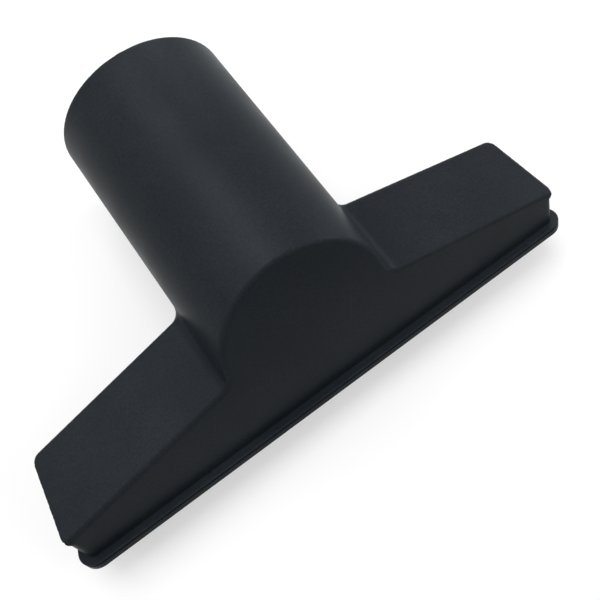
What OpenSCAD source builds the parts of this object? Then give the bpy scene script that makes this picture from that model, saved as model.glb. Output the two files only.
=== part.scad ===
// Upholstery nozzle of a vacuum cleaner, one hollow moulding. A low head with two falling
// wings ends in a rim round the open mouth, and a round socket for the wand leaves it to the rear.

/* [Socket] */
// Bore of the socket, the size of the wand that goes in
bore_d = 35; // [28:0.5:45]
// Wall thickness of the socket tube
tube_wall = 2; // [1.5:0.1:4]
// Length of the tube along its axis, from the front face to the open end
tube_len = 64; // [54:1:110]
// Rise of the tube axis above the plane of the mouth
tube_rise = 25.5; // [15:0.5:40]
// Depth of the bore from the open end to its stop
bore_depth = 42; // [25:1:44]
// Width of the ledge that stops the wand
stop_w = 1.5; // [0.8:0.1:3]
// Chamfer that leads the wand into the bore
lead_in = 0.7; // [0.3:0.1:1.2]
// Radius on the outer edge of the open end
end_r = 0.8; // [0.3:0.1:1.4]

/* [Head] */
// Length of the head along the foot of its front face
head_len = 126; // [90:1:180]
// Depth of the head from its front face to its rear wall
head_depth = 16.8; // [14:0.1:30]
// Amount by which each end leans in from front to rear
end_taper = 3.2; // [0:0.1:6]
// Wall thickness of the head
head_wall = 2; // [1.5:0.1:3]
// Height of the tube axis over the rim, at the front face
axis_h = 17.9; // [14:0.1:24]
// Fall of each wing from the tube to its end
wing_fall = 13.3; // [5:0.1:16]
// Height over the tube axis at which each wing meets the tube
wing_lift = 0.8; // [0:0.1:3]
// Radius of the upright corners of the head
corner_r = 2.2; // [1:0.1:4]
// Radius of the upright corners inside the head
inner_r = 0.8; // [0.4:0.1:3]
// Radius of the hollow between a wing and the tube
root_r = 2.4; // [0.8:0.1:4]

/* [Rim] */
// Distance by which the rim stands out from the head
rim_out = 1.8; // [1:0.1:4]
// Height of the rim
rim_h = 2.4; // [1.5:0.1:5]
// Width of the fine groove round the rim
groove_w = 0.4; // [0.3:0.1:0.8]
// Depth of the fine groove
groove_d = 0.3; // [0.2:0.1:0.8]
// Distance of the groove below the top of the rim
groove_drop = 0.4; // [0.3:0.1:0.7]

/* [Hidden] */
$fn = 96;
black = [0.07, 0.07, 0.08];
bore_r = bore_d / 2;
tube_r = bore_r + tube_wall;
passage_r = bore_r - stop_w;
half_len = head_len / 2;
axis_z = rim_h + axis_h;
rim_r = corner_r + rim_out;
reach = 2 * head_len;
cut = 1;
hair = 0.01;
slant = norm([end_taper, head_depth]);
section_fall = tan(wing_fall) * cos(tube_rise);
fall_angle = atan(section_fall);
wing_top = section_fall * tube_r + wing_lift;

// Rest: the rear edge of the rim and the round edge of the open end lie on the floor
foot_y = head_depth + rim_out;
heel_s = tube_len - end_r;
heel_v = end_r - tube_r;
heel = [heel_s * cos(tube_rise) - heel_v * sin(tube_rise) - foot_y,
        heel_s * sin(tube_rise) + heel_v * cos(tube_rise) + axis_z];
rest_tilt = atan2(heel[1], heel[0]) - asin(end_r / norm(heel));
rest_rise = tube_rise - rest_tilt;
rest_front = -(foot_y + rim_out) * cos(rest_tilt);
rest_rear = axis_z * sin(rest_tilt) - foot_y * cos(rest_tilt) + heel_s * cos(rest_rise)
    + (tube_r - end_r) * abs(sin(rest_rise)) + end_r;

// Root hollow: its circle touches the tube and the wing
root_lift = wing_top + root_r / cos(fall_angle);
root_far = tube_r + root_r;
root_k = 1 + section_fall * section_fall;
root_x = (section_fall * root_lift
    + sqrt(root_k * root_far * root_far - root_lift * root_lift)) / root_k;
root_c = [root_x, root_lift - section_fall * root_x];
root_on_tube = root_c * tube_r / root_far;
root_on_wing = root_c - root_r * [sin(fall_angle), cos(fall_angle)];

function unit(v) = v / norm(v);

// Half length of the head outline grown by d, at the depth y
function end_x(d, y) = half_len + (d * slant - y * end_taper) / head_depth;

// Corner points of the head outline grown by d
function outline(d) = [
    [-end_x(d, -d), -d], [end_x(d, -d), -d],
    [end_x(d, head_depth + d), head_depth + d], [-end_x(d, head_depth + d), head_depth + d]];

// Outline with round corners: straight sides between the tangent points, a circle in each corner.
// The circle is a hair larger than the corner, so that it crosses the sides instead of grazing them.
module round_outline(pts, r) {
    n = len(pts);
    polygon([for (i = [0:n - 1]) each
        let (p = pts[i], a = unit(pts[(i + n - 1) % n] - p), b = unit(pts[(i + 1) % n] - p),
            t = r / tan(acos(a * b) / 2)) [p + a * t, p + b * t]]);
    for (i = [0:n - 1]) {
        p = pts[i];
        a = unit(pts[(i + n - 1) % n] - p);
        b = unit(pts[(i + 1) % n] - p);
        translate(p + unit(a + b) * r / sin(acos(a * b) / 2)) circle(r + hair);
    }
}

// Upright prism over the head outline grown by d, with its corners rounded by r
module prism(d, r, z0, z1) {
    translate([0, 0, z0]) linear_extrude(z1 - z0) round_outline(outline(d), r);
}

// Turns z into the tube axis, which starts in the front face
module on_axis() {
    translate([0, 0, axis_z]) rotate([90 - tube_rise, 0, 180]) children();
}

// Cross-section below both wings, lowered by d
module wing_section(d) {
    top = wing_top - d / cos(fall_angle);
    low = top - section_fall * reach;
    polygon([[0, top], [reach, low], [reach, -reach], [-reach, -reach], [-reach, low]]);
}

// Cross-section of the hollow's filling between the tube and one wing
module root_section() {
    difference() {
        polygon([root_on_tube, root_c, root_on_wing, [tube_r - root_r, -root_r]]);
        translate(root_c) circle(root_r + hair);
    }
}

// Everything behind the front face and above the mouth
module behind_front(wall) {
    translate([-reach, wall, 0]) cube([2 * reach, reach, reach]);
}

module tube_outside() {
    intersection() {
        on_axis() rotate_extrude() {
            translate([0, -reach]) square([tube_r - end_r, reach + tube_len]);
            translate([0, -reach]) square([tube_r, reach + heel_s]);
            translate([tube_r - end_r, heel_s]) circle(end_r);
        }
        behind_front(0);
    }
}

module head_outside() {
    intersection() {
        prism(0, corner_r, 0, reach);
        on_axis() translate([0, 0, -reach]) linear_extrude(2 * reach) {
            wing_section(0);
            root_section();
            mirror([1, 0]) root_section();
        }
    }
}

module rim() {
    difference() {
        prism(rim_out, rim_r, 0, rim_h);
        difference() {
            prism(rim_out + cut, rim_r, rim_h - groove_drop - groove_w, rim_h - groove_drop);
            prism(rim_out - groove_d, rim_r - groove_d, -cut, rim_h + cut);
        }
    }
}

// Air way from the open mouth into the tube, up to the ledge
module air_way() {
    intersection() {
        prism(-head_wall, inner_r, -cut, reach);
        on_axis() translate([0, 0, -reach]) linear_extrude(2 * reach) wing_section(head_wall);
    }
    intersection() {
        on_axis() translate([0, 0, -reach]) cylinder(r = passage_r, h = reach + tube_len);
        behind_front(head_wall);
    }
}

module socket_bore() {
    on_axis() {
        translate([0, 0, tube_len - bore_depth]) cylinder(r = bore_r, h = bore_depth + cut);
        translate([0, 0, tube_len - lead_in])
            cylinder(r1 = bore_r, r2 = bore_r + lead_in + cut, h = lead_in + cut);
    }
}

module nozzle_body() {
    color(black)
        translate([0, -(rest_front + rest_rear) / 2, 0])
            rotate([-rest_tilt, 0, 0]) translate([0, -foot_y, 0])
                difference() {
                    union() {
                        tube_outside();
                        head_outside();
                        rim();
                    }
                    air_way();
                    socket_bore();
                }
}

nozzle_body();
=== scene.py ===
# %% [markdown]
# The upholstery nozzle of a vacuum cleaner is one hollow plastic moulding: a low head with two
# falling wings, a rim round its open mouth, and a socket for the wand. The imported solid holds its
# sizes. This lesson gives it the finish of the real thing: soft edges, a hollow where the socket
# grows out of the head, and the fine matt grain of the mould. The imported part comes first,
# because everything here has to lie where it lies.

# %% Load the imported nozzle
import math
import bmesh
import bpy
import numpy as np
from mathutils import Matrix, Vector


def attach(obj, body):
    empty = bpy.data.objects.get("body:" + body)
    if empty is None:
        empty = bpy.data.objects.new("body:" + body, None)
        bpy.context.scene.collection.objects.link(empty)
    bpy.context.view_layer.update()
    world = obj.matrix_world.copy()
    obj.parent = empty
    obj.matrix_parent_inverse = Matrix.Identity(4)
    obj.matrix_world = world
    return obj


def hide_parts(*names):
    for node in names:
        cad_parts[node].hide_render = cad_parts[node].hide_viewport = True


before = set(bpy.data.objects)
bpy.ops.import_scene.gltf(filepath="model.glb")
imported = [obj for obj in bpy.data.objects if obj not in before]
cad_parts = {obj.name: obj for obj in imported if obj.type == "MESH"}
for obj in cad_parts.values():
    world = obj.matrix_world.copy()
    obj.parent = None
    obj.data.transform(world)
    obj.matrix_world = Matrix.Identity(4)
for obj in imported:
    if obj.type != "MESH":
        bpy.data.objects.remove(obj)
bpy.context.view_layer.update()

# %% [markdown]
# A nozzle is drawn with its mouth flat on the ground, but it can't stay like that when it is put
# down: it tips back onto the rear edge of its rim and the lower edge of the socket. So it is
# modelled here in millimetres in the drawing frame, where its walls are level and upright, and one
# matrix then lays it down in metres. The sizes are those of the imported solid.

# %% Sizes of the moulding, and the matrix that lays it down
HEAD_LENGTH, HEAD_DEPTH, END_LEAN = 126, 16.8, 3.2
CORNER_RADIUS = 2.2
WALL = 2
RIM_OUT, RIM_HEIGHT = 1.8, 2.4
# The socket's axis starts in the front face, at this height over the mouth, and rises to the rear.
AXIS_HEIGHT = 20.3
SOCKET_RISE = math.radians(25.5)
SOCKET_RADIUS, BORE_RADIUS, PASSAGE_RADIUS = 19.5, 17.5, 16
SOCKET_LENGTH, BORE_DEPTH = 64, 42
# Seen along the socket, the wings start a little over its axis and fall by 13.3 degrees of the front.
WING_LIFT = 0.8
WING_FALL = math.atan(math.tan(math.radians(13.3)) * math.cos(SOCKET_RISE))

TIP_BACK = math.radians(32.553378)
# Rear edge of the rim, about which it tips, and the middle of the floor space it then takes.
FOOT = HEAD_DEPTH + RIM_OUT
MIDDLE = 21.934179
MM = 0.001
lay_down = (Matrix.Scale(MM, 4) @ Matrix.Translation((0, -MIDDLE, 0))
            @ Matrix.Rotation(-TIP_BACK, 4, "X") @ Matrix.Translation((0, -FOOT, 0)))
print("tipped back by", round(math.degrees(TIP_BACK), 1), "degrees")

# %% [markdown]
# Steel moulds have rounded corners, so the real nozzle has no sharp edge outside, and a soft
# hollow runs all the way round the foot of the socket. Blender's bevel is the usual way to
# round edges, but it tears where a rounded edge and a hollow meet, as they do behind each wing.
# So the outside is described like clay: every wall is a rule that gives, for any point, how
# far outside the wall it is and which way the wall faces. Two walls meet in a rounded edge, or
# are filled with a hollow, by rolling a ball along both of them.

# %% Walls as rules, and the ball that rolls along two of them
NEARLY_FLAT = 0.999
TINY = 1e-9


def roll(one, other, radius, side):
    (a, facing_a), (b, facing_b) = one, other
    deep_a, deep_b = radius + side * a, radius + side * b
    bend = np.clip((facing_a * facing_b).sum(0), -NEARLY_FLAT, NEARLY_FLAT)
    share_a, share_b = deep_a - bend * deep_b, deep_b - bend * deep_a
    on_ball = (share_a > 0) & (share_b > 0)
    span = deep_a ** 2 + deep_b ** 2 - 2 * bend * deep_a * deep_b
    away = np.sqrt(np.maximum(span, 0) / (1 - bend ** 2))
    first = side * a > side * b
    distance = np.where(on_ball, side * (away - radius), np.where(first, a, b))
    one_wall = np.where(first, facing_a, facing_b)
    facing = np.where(on_ball, share_a * facing_a + share_b * facing_b, one_wall)
    return distance, facing / np.maximum(np.sqrt((facing ** 2).sum(0)), TINY)


def rounded_edge(one, other, radius):
    return roll(one, other, radius, 1)


def filled_hollow(one, other, radius):
    return roll(one, other, radius, -1)


def flat_wall(points, facing, through):
    facing = np.array(facing, float) / np.linalg.norm(facing)
    distance = facing @ points - facing @ np.array(through, float)
    return distance, np.repeat(facing[:, None], points.shape[1], 1)


print("a ball of 1 mm in a square corner leaves", round(math.sqrt(2) - 1, 3), "mm of it")

# %% [markdown]
# The socket is a round tube. Its open end is turned over by a small radius, as the mould leaves
# it. The rule for a tube is the distance from its axis less its radius.

# %% Rule of the socket
END_RADIUS = 0.8


def socket_outside(points):
    x, y, z = points
    rise, run = math.sin(SOCKET_RISE), math.cos(SOCKET_RISE)
    across = (z - AXIS_HEIGHT) * run - y * rise
    out = np.maximum(np.hypot(x, across), TINY)
    facing = np.stack([x, -across * rise, across * run]) / out
    end_at = (0, run * SOCKET_LENGTH, rise * SOCKET_LENGTH + AXIS_HEIGHT)
    open_end = flat_wall(points, (0, run, rise), end_at)
    return rounded_edge((out - SOCKET_RADIUS, facing), open_end, END_RADIUS)


top_of_socket = np.array([[0.0], [0], [AXIS_HEIGHT + SOCKET_RADIUS]])
print("top of the socket, outside by:", socket_outside(top_of_socket)[0].round(2), "mm")


# %% [markdown]
# The head has two sloping wings, a rear wall and two ends that lean in. Both halves are alike,
# so the rules fold the left half onto the right one and turn the facing back afterwards.
# The crisp edges at the rear and the ends are rounded less than the long front edge.

# %% Rule of the head
WING_EDGE_RADIUS = 0.7


def head_outside(points):
    half = np.abs(points * [[1], [0], [0]]) + points * [[0], [1], [1]]
    end = flat_wall(half, (HEAD_DEPTH, END_LEAN, 0), (HEAD_LENGTH / 2, 0, 0))
    rear = flat_wall(half, (0, 1, 0), (0, HEAD_DEPTH, 0))
    drop, level = math.sin(WING_FALL), math.cos(WING_FALL)
    back, up = -math.sin(SOCKET_RISE), math.cos(SOCKET_RISE)
    root = (SOCKET_RADIUS, WING_LIFT * back, AXIS_HEIGHT + WING_LIFT * up)
    wing = flat_wall(half, (drop, level * back, level * up), root)
    walls = rounded_edge(end, rear, CORNER_RADIUS)
    distance, facing = rounded_edge(walls, wing, WING_EDGE_RADIUS)
    facing[0] = np.where(points[0] < 0, -facing[0], facing[0])
    return distance, facing


print("half a millimetre over the wing:", head_outside(np.array([[40.0], [10], [21.7]]))[0].round(2), "mm")


# %% [markdown]
# Joined with a hollow, the tube and the head are cut by the flat front face. The edge that this
# leaves is the line the eye follows on the real nozzle: along a wing, up over the arch
# and down to the other wing. Only near the ends does it open out to the upright corner.

# %% Rule of the whole outside
HOLLOW_RADIUS = 2.8
FRONT_RADIUS = 1.3
# Over this length each end's front edge grows from the soft edge to the upright corner.
OPENS_AT, OPENS_OVER = 7, 6
# The rim hides the foot of the head, so the skin may stop inside it.
BLOCK_FOOT, HIDDEN_RADIUS = 1.2, 0.3


def outside(points):
    grown = filled_hollow(socket_outside(points), head_outside(points), HOLLOW_RADIUS)
    near_end = np.clip((np.abs(points[0]) - HEAD_LENGTH / 2 + OPENS_AT) / OPENS_OVER, 0, 1)
    radius = FRONT_RADIUS + (CORNER_RADIUS - FRONT_RADIUS) * near_end * np.abs(grown[1][0])
    faced = rounded_edge(grown, flat_wall(points, (0, -1, 0), (0, 0, 0)), radius)
    return rounded_edge(faced, flat_wall(points, (0, 0, -1), (0, 0, BLOCK_FOOT)), HIDDEN_RADIUS)


at = np.array([[0.0, 30, 63], [-1.0, 8, 8], [20, 10, 8]])
print("outside by, mm:", outside(at)[0].round(2))

# %% [markdown]
# A rule has no faces yet. To get them, the space is cut into half-millimetre cells. Each
# cell that the skin passes through gets one point, and every grid line that crosses the skin gets
# a face between its four cells. This is called a surface net. It gives even, four-sided faces,
# and then each point is slid along its facing until it lies exactly on the skin.
# Marching cubes would do as well, but they leave thin slivers, which shade badly.

# %% Cast a net over the outside
CELL = 0.5


def lines(low, high):
    return np.arange(low, high, CELL)


# The grid starts a little off the walls, so that none of its lines runs inside one.
half_x = lines(0, HEAD_LENGTH / 2 + 1.5)
grid = [np.concatenate([-half_x[:0:-1], half_x]), lines(-1.23, 67), lines(0.13, 66)]
level_y, level_z = np.meshgrid(grid[1], grid[2], indexing="ij")


def slice_at(x):
    points = np.stack([np.full(level_y.size, x), level_y.ravel(), level_z.ravel()])
    return outside(points)[0].reshape(level_y.shape)


slices = [slice_at(x) for x in half_x]
field = np.stack(slices[:0:-1] + slices)
print("grid of", field.size, "points")


def cast_net(field, grid):
    inside = field < 0
    steps = np.array([[i, j, k] for i in (0, 1) for j in (0, 1) for k in (0, 1)])
    size = np.array(field.shape) - 1
    filled = sum(inside[i:i + size[0], j:j + size[1], k:k + size[2]].astype(int) for i, j, k in steps)
    crossed = (filled > 0) & (filled < 8)
    number = np.full(crossed.shape, -1)
    number[crossed] = np.arange(crossed.sum())
    cells = np.argwhere(crossed)
    total, count, faces = np.zeros(cells.shape), np.zeros(len(cells)), []
    for axis in range(3):
        along = np.eye(3, dtype=int)[axis]
        for start in steps[steps[:, axis] == 0]:
            before, after = (field[tuple((cells + s).T)] for s in (start, start + along))
            cut = (before < 0) != (after < 0)
            part = np.where(cut, before / np.where(cut, before - after, 1), 0)
            total += cut[:, None] * (start + part[:, None] * along)
            count += cut
        second, third = np.eye(3, dtype=int)[(axis + 1) % 3], np.eye(3, dtype=int)[(axis + 2) % 3]
        ahead = np.roll(inside, -1, axis)
        edges = np.argwhere((inside != ahead)[1:-1, 1:-1, 1:-1]) + 1
        ring = np.stack([number[tuple((edges - s).T)] for s in (0 * along, second, second + third, third)], 1)
        outward = inside[tuple(edges.T)]
        faces += [ring[outward], ring[~outward][:, ::-1]]
    low = np.array([g[0] for g in grid])
    return low + CELL * (cells + total / count[:, None]), np.concatenate(faces)


net_points, net_faces = cast_net(field, grid)
SLIDES = 4
for _ in range(SLIDES):
    distance, facing = outside(net_points.T)
    net_points -= (distance * facing).T
print("net:", len(net_points), "points,", len(net_faces), "faces, off the skin by at most",
      round(float(np.abs(outside(net_points.T)[0]).max()), 5), "mm")

# %% [markdown]
# The net becomes a mesh object. On a flat wall all its little faces lie in one plane and tell
# nothing, so they are joined into one face, and only the rounded places keep the fine net.

# %% Turn points and faces into a mesh object
def moulded(name, points, faces):
    mesh = bpy.data.meshes.new(name)
    mesh.from_pydata([tuple(p) for p in points], [], [tuple(int(i) for i in f) for f in faces])
    mesh.validate()
    piece = bpy.data.objects.new(name, mesh)
    bpy.context.scene.collection.objects.link(piece)
    return piece


nozzle = moulded("nozzle_moulding", net_points, net_faces)
shell = bmesh.new()
shell.from_mesh(nozzle.data)
FLAT = math.radians(0.05)
bmesh.ops.dissolve_limit(shell, angle_limit=FLAT, verts=shell.verts, edges=shell.edges)
print("flat walls joined:", len(shell.faces), "faces")
print("open edges:", sum(not e.is_manifold for e in shell.edges))
shell.to_mesh(nozzle.data)
shell.free()

# %% [markdown]
# The rim, and the hollow inside, are simple shapes of which only the side view matters. So they
# are lofted: a closed outline is repeated at several heights, each time grown by another
# amount, and the rings are joined.

# %% Outline of the head, and a loft along it
CORNER_STEPS = 14


def head_outline(radius, grown):
    lean = math.atan2(END_LEAN, HEAD_DEPTH)
    half, rear = HEAD_LENGTH / 2, HEAD_LENGTH / 2 - END_LEAN
    corners = [(half, 0), (rear, HEAD_DEPTH), (-rear, HEAD_DEPTH), (-half, 0)]
    facings = [-math.pi / 2, lean, math.pi / 2, math.pi - lean, 1.5 * math.pi]
    ring = []
    for (x, y), first, last in zip(corners, facings, facings[1:]):
        middle, opening = (first + last) / 2, math.cos((last - first) / 2)
        centre = [x - radius / opening * math.cos(middle), y - radius / opening * math.sin(middle)]
        for step in range(CORNER_STEPS + 1):
            turn = first + (last - first) * step / CORNER_STEPS
            out = radius + grown
            ring.append((centre[0] + out * math.cos(turn), centre[1] + out * math.sin(turn)))
        if len(ring) == 2 * CORNER_STEPS + 2:
            ring.append((0, HEAD_DEPTH + grown))
    return ring + [(0, -grown)]


def sides_between(rings, count):
    return [[r * count + i, r * count + (i + 1) % count, (r + 1) * count + (i + 1) % count, (r + 1) * count + i]
            for r in range(rings - 1) for i in range(count)]


# The lid is in two halves, because the roof of the hollow has a ridge between its two slopes.
def loft(name, rings):
    count = len(rings[0])
    top = (len(rings) - 1) * count
    right_half = [top + count - 1] + [top + i for i in range(count // 2)]
    left_half = [top + i for i in range(count // 2 - 1, count)]
    faces = sides_between(len(rings), count) + [list(range(count))[::-1], right_half, left_half]
    return moulded(name, [p for ring in rings for p in ring], faces)


def bow(centre, radius, first, last, steps):
    turns = [math.radians(first + (last - first) * s / steps) for s in range(steps + 1)]
    return [(centre[0] + radius * math.cos(t), centre[1] + radius * math.sin(t)) for t in turns]


print("points in the outline of the head:", len(head_outline(CORNER_RADIUS, 0)))

# %% [markdown]
# The rim is what glides over a cushion, so its lower edge is well rounded. A fine groove runs
# round it just below its top edge. On the real nozzle it catches the light as a thin double line.

# %% Rim with its fine groove
GROOVE_TOP, GROOVE_LOW, GROOVE_DEEP = 2.0, 1.6, 0.3
LOW_EDGE, TOP_EDGE, GROOVE_EDGE = 0.3, 0.2, 0.08
groove_floor = RIM_OUT - GROOVE_DEEP
side = (bow((RIM_OUT - LOW_EDGE, LOW_EDGE), LOW_EDGE, -90, 0, 4)
        + bow((RIM_OUT - GROOVE_EDGE, GROOVE_LOW - GROOVE_EDGE), GROOVE_EDGE, 0, 90, 2)
        + [(groove_floor, GROOVE_LOW), (groove_floor, GROOVE_TOP)]
        + bow((RIM_OUT - GROOVE_EDGE, GROOVE_TOP + GROOVE_EDGE), GROOVE_EDGE, -90, 0, 2)
        + bow((RIM_OUT - TOP_EDGE, RIM_HEIGHT - TOP_EDGE), TOP_EDGE, 0, 90, 4))
rim = loft("rim", [[(x, y, z) for x, y in head_outline(CORNER_RADIUS, grown)] for grown, z in side])
print("rim rings:", len(side))

# %% [markdown]
# Inside, the head is a hollow of even wall, and the mouth's inner edge is rounded so that it
# doesn't catch on cloth. The hollow's roof follows the wings. The cutter that takes it out is one
# more loft: it starts a little under the mouth, where it is wider, and curves into the wall.

# %% Hollow of the head
INSIDE_RADIUS = 0.8
MOUTH_EDGE = 0.4
# The edge stops just short of level, and the cutter goes on in that direction to below the mouth.
EDGE_FROM = 258
BELOW = 0.51


def roof_over(x, y):
    lowered = AXIS_HEIGHT + (WING_LIFT - WALL / math.cos(WING_FALL)) / math.cos(SOCKET_RISE)
    slope = math.tan(WING_FALL) / math.cos(SOCKET_RISE)
    return lowered + (SOCKET_RADIUS - abs(x)) * slope + y * math.tan(SOCKET_RISE)


edge = bow((MOUTH_EDGE - WALL, MOUTH_EDGE), MOUTH_EDGE, EDGE_FROM, 180, 4)
flare = (edge[0][0] + BELOW * math.tan(math.radians(EDGE_FROM)), edge[0][1] - BELOW)
rings = [[(x, y, z) for x, y in head_outline(INSIDE_RADIUS + WALL, grown)] for grown, z in [flare] + edge]
rings.append([(x, y, roof_over(x, y)) for x, y in head_outline(INSIDE_RADIUS + WALL, -WALL)])
head_hollow = loft("head_hollow", rings)
print("roof inside, mm over the mouth:", round(roof_over(0, WALL), 1), "to", round(roof_over(58, WALL), 1))

# %% [markdown]
# The air way and the bore are round, so they are turned about the socket's axis like parts on a
# lathe. The air way starts at the front wall, slanted, because the socket leaves it at an
# angle. Where it widens to the bore, a narrow ledge stops the wand, and the open end has a chamfer
# that leads the wand in. All their edges are softened a little.

# %% Air way and bore, turned about the socket's axis
ROUND_STEPS = 128
BORE_START = SOCKET_LENGTH - BORE_DEPTH


def ring_on_axis(radius, along):
    ring = []
    for step in range(ROUND_STEPS):
        turn = 2 * math.pi * (step + 0.5) / ROUND_STEPS
        x, up = radius * math.sin(turn), radius * math.cos(turn)
        s = along(up) if callable(along) else along
        ring.append((x, s * math.cos(SOCKET_RISE) - up * math.sin(SOCKET_RISE),
                     s * math.sin(SOCKET_RISE) + up * math.cos(SOCKET_RISE) + AXIS_HEIGHT))
    return ring


def turned(name, side):
    rings = [ring_on_axis(radius, along) for along, radius in side]
    last = (len(rings) - 1) * ROUND_STEPS
    ends = [list(range(ROUND_STEPS))[::-1], [last + i for i in range(ROUND_STEPS)]]
    return moulded(name, [p for ring in rings for p in ring], sides_between(len(rings), ROUND_STEPS) + ends)


def behind_front_wall(up):
    return (WALL + up * math.sin(SOCKET_RISE)) / math.cos(SOCKET_RISE)


# The air way's cutter goes on into the bore, so that no thin skin is left between them.
INTO_BORE = 6
air_way = turned("air_way", [(behind_front_wall, PASSAGE_RADIUS), (BORE_START + INTO_BORE, PASSAGE_RADIUS)])
# Side views of the ledge's edge and of the chamfer: how far along the axis, and the radius there.
ledge = [(BORE_START - 0.6, PASSAGE_RADIUS - 0.2), (BORE_START - 0.25, PASSAGE_RADIUS + 0.08),
         (BORE_START - 0.05, PASSAGE_RADIUS + 0.3), (BORE_START, PASSAGE_RADIUS + 0.5)]
lead_in = [(SOCKET_LENGTH - 0.9, BORE_RADIUS), (SOCKET_LENGTH - 0.68, BORE_RADIUS + 0.06),
           (SOCKET_LENGTH - 0.5, BORE_RADIUS + 0.2), (SOCKET_LENGTH + 1, BORE_RADIUS + 1.7)]
bore = turned("bore", ledge + [(BORE_START, BORE_RADIUS)] + lead_in)
print("air way, bore:", len(air_way.data.polygons), len(bore.data.polygons), "faces")

# %% [markdown]
# Now the pieces come together as in the mould: the rim is joined to the outside, and the cores are
# taken out of it. Exact booleans keep the whole watertight, which a plain join would not. The
# result is copied to a mesh of its own and the tools are thrown away.

# %% Join the rim, cut the hollow, the air way and the bore
def cut(piece, how, tool):
    step = piece.modifiers.new(tool.name, "BOOLEAN")
    step.operation = how
    step.solver = "EXACT"
    step.object = tool


cut(nozzle, "UNION", rim)
for tool in (head_hollow, air_way, bore):
    cut(nozzle, "DIFFERENCE", tool)
whole = bpy.data.meshes.new_from_object(nozzle.evaluated_get(bpy.context.evaluated_depsgraph_get()))
nozzle.modifiers.clear()
for tool in (rim, head_hollow, air_way, bore):
    bpy.data.objects.remove(tool)

shell = bmesh.new()
shell.from_mesh(whole)
bmesh.ops.dissolve_limit(shell, angle_limit=FLAT, verts=shell.verts, edges=shell.edges)
print("whole moulding:", len(shell.faces), "faces, open edges:", sum(not e.is_manifold for e in shell.edges),
      "volume, cm3:", round(shell.calc_volume() / 1000, 2))
shell.to_mesh(whole)
shell.free()
nozzle.data = whole

# %% [markdown]
# Light shows every small dent, so what matters is which way each corner of a face looks. On the
# rounded skin the rules give that exactly. The rim and the inside have no rule, so there
# the larger faces count for more, and only true corners stay sharp. Then the part is laid down in
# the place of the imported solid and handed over.

# %% Facing of each corner of each face
SHARP = math.radians(32)
ON_SKIN, SAME_WAY = 0.01, 0.7
for face in whole.polygons:
    face.use_smooth = True
whole.set_sharp_from_angle(angle=SHARP)
evened = nozzle.modifiers.new("evened", "WEIGHTED_NORMAL")
evened.keep_sharp = True
seen = bpy.data.meshes.new_from_object(nozzle.evaluated_get(bpy.context.evaluated_depsgraph_get()))
nozzle.modifiers.clear()
corner_facing = np.empty(len(seen.loops) * 3)
seen.corner_normals.foreach_get("vector", corner_facing)
corner_facing = corner_facing.reshape(-1, 3)
point_at = np.empty(len(seen.vertices) * 3)
seen.vertices.foreach_get("co", point_at)
corner_of = np.empty(len(seen.loops), int)
seen.loops.foreach_get("vertex_index", corner_of)
distance, facing = outside(point_at.reshape(-1, 3).T)
rule_facing = facing.T[corner_of]
same_way = (rule_facing * corner_facing).sum(1) > SAME_WAY
on_skin = (np.abs(distance) < ON_SKIN)[corner_of] & same_way
corner_facing[on_skin] = rule_facing[on_skin]
whole.normals_split_custom_set(corner_facing.tolist())
whole.transform(lay_down)
print("corners on the rounded skin:", int(on_skin.sum()), "of", len(on_skin))
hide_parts("nozzle_body")
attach(nozzle, "root")


# %% [markdown]
# The nozzle is black polypropylene, injection moulded against spark-eroded steel. That gives the
# eye a deep, slightly cool black with a silky, matt sheen, bright only where the surface
# turns away. The finish is made from noise in the object's own millimetres, so that it stays put on
# the part from every side. Colours are given as on a colour card and turned to linear light.

# %% Colours from a colour card, and a helper for nodes
def linear(colour):
    parts = [int(colour[i:i + 2], 16) / 255 for i in (1, 3, 5)]
    return [part / 12.92 if part < 0.04045 else ((part + 0.055) / 1.055) ** 2.4 for part in parts] + [1]


def add_node(tree, kind, settings=None, links=None):
    node = tree.nodes.new(kind)
    for name, value in (settings or {}).items():
        if isinstance(name, int) or name in node.inputs:
            node.inputs[name].default_value = value
        else:
            setattr(node, name, value)
    for name, socket in (links or {}).items():
        tree.links.new(socket, node.inputs[name])
    return node


def across_mm(size):
    return 1000 / size


print("deep black in linear light:", [round(v, 4) for v in linear("#1b1f23")])

# %% [markdown]
# One plastic covers the whole part. Two blacks, a shade apart, are mixed by a slow flow of the
# melt and by the grain of the mould. The sheen changes a little over a few millimetres, as it
# does where hands have been. The grain and the flow also tilt the surface by hundredths of a
# millimetre, which breaks the long bands of light up softly.

# %% Black moulded polypropylene
DEEP_BLACK, WORN_BLACK = linear("#1b1f23"), linear("#25292d")
POLYPROPYLENE_IOR = 1.49
# The eroded surface scatters most of the mirror share, so less of it is left than on a gloss part.
MATT_REFLECTION = 0.06
# The grain of the mould is about 0.1 mm across. It is drawn at 0.5 mm, the finest that shows here.
GRAIN_MM = 0.5
FLOW_MM = 22
HANDLING_MM = 9
SILKY, MATT = 0.34, 0.43
# Depths of the grain and of the flow marks, in metres.
GRAIN_DEEP, FLOW_DEEP = 0.00003, 0.0001

polypropylene = bpy.data.materials.new("black_moulded_polypropylene")
polypropylene.use_nodes = True
tree = polypropylene.node_tree
skin = tree.nodes["Principled BSDF"]
place = add_node(tree, "ShaderNodeTexCoord").outputs["Object"]
flow = add_node(tree, "ShaderNodeTexNoise",
                {"Scale": across_mm(FLOW_MM), "Detail": 3, "Roughness": 0.55}, {"Vector": place})
grain = add_node(tree, "ShaderNodeTexNoise",
                 {"Scale": across_mm(GRAIN_MM), "Detail": 2, "Roughness": 0.6}, {"Vector": place})
handling = add_node(tree, "ShaderNodeTexNoise",
                    {"Scale": across_mm(HANDLING_MM), "Detail": 4, "Roughness": 0.6}, {"Vector": place})

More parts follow.
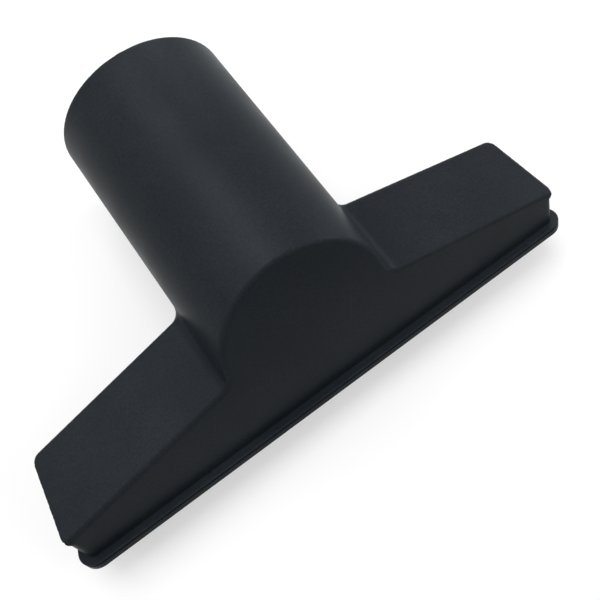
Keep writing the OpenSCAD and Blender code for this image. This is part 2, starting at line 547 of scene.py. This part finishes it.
tone = add_node(tree, "ShaderNodeMath", {"operation": "MULTIPLY"}, {0: flow.outputs["Fac"], 1: grain.outputs["Fac"]})
colour = add_node(tree, "ShaderNodeMix", {"data_type": "RGBA", 6: DEEP_BLACK, 7: WORN_BLACK})
spread = add_node(tree, "ShaderNodeMapRange", {"From Min": 0.12, "From Max": 0.4}, {"Value": tone.outputs[0]})
tree.links.new(spread.outputs["Result"], colour.inputs[0])
tree.links.new(colour.outputs[2], skin.inputs["Base Color"])

sheen = add_node(tree, "ShaderNodeMapRange",
                 {"From Min": 0.3, "From Max": 0.7, "To Min": SILKY, "To Max": MATT},
                 {"Value": handling.outputs["Fac"]})
tree.links.new(sheen.outputs["Result"], skin.inputs["Roughness"])

fine = add_node(tree, "ShaderNodeBump", {"Strength": 0.35, "Distance": GRAIN_DEEP},
                {"Height": grain.outputs["Fac"]})
wave = add_node(tree, "ShaderNodeBump", {"Strength": 0.2, "Distance": FLOW_DEEP},
                {"Height": flow.outputs["Fac"], "Normal": fine.outputs["Normal"]})
tree.links.new(wave.outputs["Normal"], skin.inputs["Normal"])
skin.inputs["IOR"].default_value = POLYPROPYLENE_IOR
skin.inputs["Specular IOR Level"].default_value = MATT_REFLECTION
skin.inputs["Specular Tint"].default_value = linear("#f0f8ff")
nozzle.data.materials.clear()
nozzle.data.materials.append(polypropylene)
print("nodes in the plastic:", len(tree.nodes))

# %% [markdown]
# The photograph shows the nozzle on plain white. Here it lies on a sheet of matt white paper, which
# catches its soft shadow. Paper under plain light only returns part of it, so a share of white
# is added where a ray comes straight from the eye, from a glossy surface or through glass. Behind
# the sheet the studio is white in the same way.

# %% White paper under the nozzle
SHEET_HALF = 0.6
WHITE_SHARE = 0.5


def rays_that_see_it(tree):
    ray = add_node(tree, "ShaderNodeLightPath")
    eye_or_gloss = add_node(tree, "ShaderNodeMath", {"operation": "MAXIMUM"},
                            {0: ray.outputs["Is Camera Ray"], 1: ray.outputs["Is Glossy Ray"]})
    seen = add_node(tree, "ShaderNodeMath", {"operation": "MAXIMUM"},
                    {0: eye_or_gloss.outputs[0], 1: ray.outputs["Is Transmission Ray"]})
    return seen.outputs[0]


corners = [(x * SHEET_HALF, y * SHEET_HALF, 0) for x, y in ((-1, -1), (1, -1), (1, 1), (-1, 1))]
floor = moulded("paper_sheet", corners, [(0, 1, 2, 3)])
paper = bpy.data.materials.new("matt_white_paper")
paper.use_nodes = True
tree = paper.node_tree
sheet = tree.nodes["Principled BSDF"]
sheet.inputs["Base Color"].default_value = linear("#bcbcbc")
sheet.inputs["Roughness"].default_value = 0.9
sheet.inputs["Specular IOR Level"].default_value = 0.1
sheet.inputs["Emission Color"].default_value = (1, 1, 1, 1)
white = add_node(tree, "ShaderNodeMath", {"operation": "MULTIPLY", 1: WHITE_SHARE}, {0: rays_that_see_it(tree)})
tree.links.new(white.outputs[0], sheet.inputs["Emission Strength"])
floor.data.materials.append(paper)
print("sheet, m:", 2 * SHEET_HALF)

# %% [markdown]
# The light is that of a photographer's table: soft boxes all round, about a metre away, of nearly
# the same glow. The two highest ones give the socket its broad band of light, the low ones draw
# the bright lines along its sides and keep the wings apart from the front. Together with the faint
# light of the white room, they light a white card to just about white.

# %% Soft boxes round the table
ROOM_LIGHT = 0.2
LAMP_DISTANCE = 0.9

room = bpy.data.worlds.new("white_room")
bpy.context.scene.world = room
room.use_nodes = True
tree = room.node_tree
walls = tree.nodes["Background"]
walls.inputs["Color"].default_value = (1, 1, 1, 1)
strength = add_node(tree, "ShaderNodeMapRange", {"To Min": ROOM_LIGHT, "To Max": 1}, {"Value": rays_that_see_it(tree)})
tree.links.new(strength.outputs["Result"], walls.inputs["Strength"])


def soft_box(name, turn, height, size, glow):
    turn, height = math.radians(turn), math.radians(height)
    box = bpy.data.lights.new(name, "AREA")
    box.shape = "RECTANGLE"
    box.size, box.size_y = size
    # An area lamp of power W and area A glows with W / (pi A) over its face.
    box.energy = glow * math.pi * size[0] * size[1]
    lamp = bpy.data.objects.new(name, box)
    level = LAMP_DISTANCE * math.cos(height)
    lamp.location = (level * math.sin(turn), level * math.cos(turn), LAMP_DISTANCE * math.sin(height))
    lamp.rotation_euler = (-lamp.location).to_track_quat("-Z", "Y").to_euler()
    bpy.context.scene.collection.objects.link(lamp)


# Each lamp: its turn from the rear towards the right, its height, both in degrees, its size and glow.
soft_box("high_rear_soft_box", -5, 62, (0.55, 0.6), 5.4)
soft_box("high_right_soft_box", 60, 70, (0.4, 0.4), 1.5)
soft_box("front_right_soft_box", 120, 45, (0.4, 0.4), 2.1)
soft_box("left_soft_box", -60, 45, (0.4, 0.4), 2.6)
soft_box("low_rear_soft_box", 28, 20, (0.45, 0.35), 3.2)
soft_box("low_right_soft_box", 90, 20, (0.45, 0.35), 4.6)

# %% [markdown]
# The photograph looks down on the front from close by, turned so that the nozzle lies aslant. The
# place and turn of the camera were worked out from the outline of the part in the picture. A
# small shift of the lens keeps the part in the frame without tilting the camera.

# %% Camera of the photograph
CAMERA_MM = (-14.6465, -41.255, 154.0373)
CAMERA_TURN = (12.8455, -2.0142, -36.159)
SENSOR_MM, LENS_MM = 36, 39.1366
SHIFT_X, SHIFT_Y = -0.033333, -0.018333
NEAREST = 0.01

eye = bpy.data.objects.new("camera", bpy.data.cameras.new("camera"))
bpy.context.scene.collection.objects.link(eye)
eye.location = [MM * v for v in CAMERA_MM]
eye.rotation_euler = [math.radians(v) for v in CAMERA_TURN]
eye.data.sensor_width, eye.data.lens = SENSOR_MM, LENS_MM
eye.data.shift_x, eye.data.shift_y = SHIFT_X, SHIFT_Y
eye.data.clip_start = NEAREST
bpy.context.scene.camera = eye
bpy.context.scene.view_settings.view_transform = "Standard"
print("camera, mm over the floor:", round(CAMERA_MM[2]))
